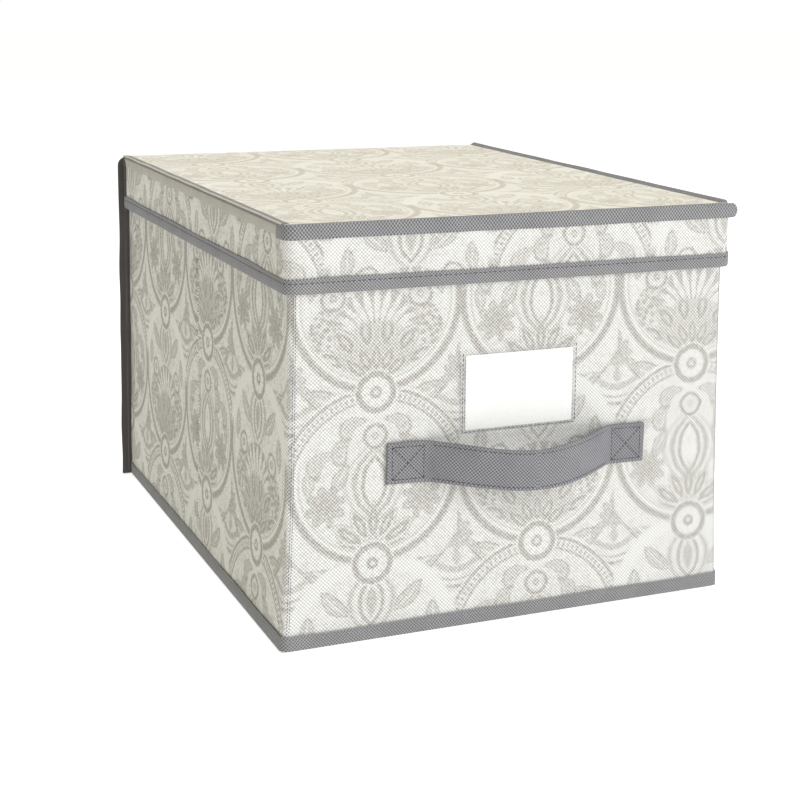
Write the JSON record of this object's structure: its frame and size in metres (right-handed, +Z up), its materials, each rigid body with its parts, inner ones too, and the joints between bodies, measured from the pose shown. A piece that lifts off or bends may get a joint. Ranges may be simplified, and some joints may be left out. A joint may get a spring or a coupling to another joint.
{
  "type": "fabric storage bin",
  "caption": "Lidded fabric storage bin with stiffened walls, cloth-hinged lid with skirt, strap handle and clear label pocket.",
  "frame": {"origin": "middle of the base, on the surface the bin stands on", "axes": "-Y is the front with the handle and the label, +Y the hinge side, +Z up"},
  "size_m": [0.314, 0.4182, 0.258],
  "materials": {
    "printed_fabric": "woven-look non-woven cloth with a printed damask",
    "lining_fabric": "plain non-woven lining",
    "binding_fabric": "grey bias binding",
    "strap_webbing": "grey twill webbing",
    "thread": "dark sewing thread",
    "chipboard": "raw greyboard",
    "card": "smooth paper card",
    "clear_film": "clear flexible vinyl"
  },
  "bodies": {
    "body": {"back_board": "chipboard", "back_cover": "printed_fabric", "back_foot_binding": "binding_fabric", "back_lining": "lining_fabric", "bottom_cover": "lining_fabric", "bottom_lining": "lining_fabric", "front_board": "chipboard", "front_cover": "printed_fabric", "front_foot_binding": "binding_fabric", "front_lining": "lining_fabric", "front_rim_binding": "binding_fabric", "label_film": "clear_film", "label_film_edging": "clear_film", "label_stitching": "thread", "left_cover": "printed_fabric", "left_crease_stitching": "thread", "left_foot_binding": "binding_fabric", "left_front_side_board": "chipboard", "left_handle_end": "strap_webbing", "left_handle_stitching": "thread", "left_lining": "lining_fabric", "left_rear_seam_binding": "binding_fabric", "left_rear_side_board": "chipboard", "left_rim_binding": "binding_fabric", "right_cover": "printed_fabric", "right_crease_stitching": "thread", "right_foot_binding": "binding_fabric", "right_front_side_board": "chipboard", "right_handle_end": "strap_webbing", "right_handle_stitching": "thread", "right_lining": "lining_fabric", "right_rear_seam_binding": "binding_fabric", "right_rear_side_board": "chipboard", "right_rim_binding": "binding_fabric"},
    "lid": {"lid_board": "chipboard", "lid_cover": "printed_fabric", "lid_lining": "lining_fabric", "lid_hinge_fold": "printed_fabric", "front_edge_binding": "binding_fabric", "front_hem_binding": "binding_fabric", "front_skirt_cover": "printed_fabric", "front_skirt_lining": "lining_fabric", "left_edge_binding": "binding_fabric", "left_hem_binding": "binding_fabric", "left_skirt_cover": "printed_fabric", "left_skirt_end_binding": "binding_fabric", "left_skirt_lining": "lining_fabric", "right_edge_binding": "binding_fabric", "right_hem_binding": "binding_fabric", "right_skirt_cover": "printed_fabric", "right_skirt_end_binding": "binding_fabric", "right_skirt_lining": "lining_fabric"},
    "base_board": {"base_board_core": "chipboard", "base_board_wrap": "lining_fabric"},
    "label_card": {"label_card": "card"},
    "handle": {"handle_grip": "strap_webbing"}
  },
  "joints": [
    {"name": "lid_hinge", "type": "hinge", "parent": "body", "child": "lid", "pos_m": [0, 0.194, 0.2576], "axis": [-1, 0, 0], "range_deg": [0, 210]},
    {"name": "base_board_lift", "type": "slide", "parent": "body", "child": "base_board", "axis": [0, 0, 1], "range_m": [0, 0.2]},
    {"name": "label_card_slide", "type": "slide", "parent": "body", "child": "label_card", "axis": [0, 0, 1], "range_m": [0, 0.04]},
    {"name": "handle_swing", "type": "hinge", "parent": "body", "child": "handle", "pos_m": [0.002, -0.1952, 0.1075], "axis": [-1, 0, 0], "range_deg": [-30, 30], "stiffness_Nm_per_rad": 0.1}
  ]
}
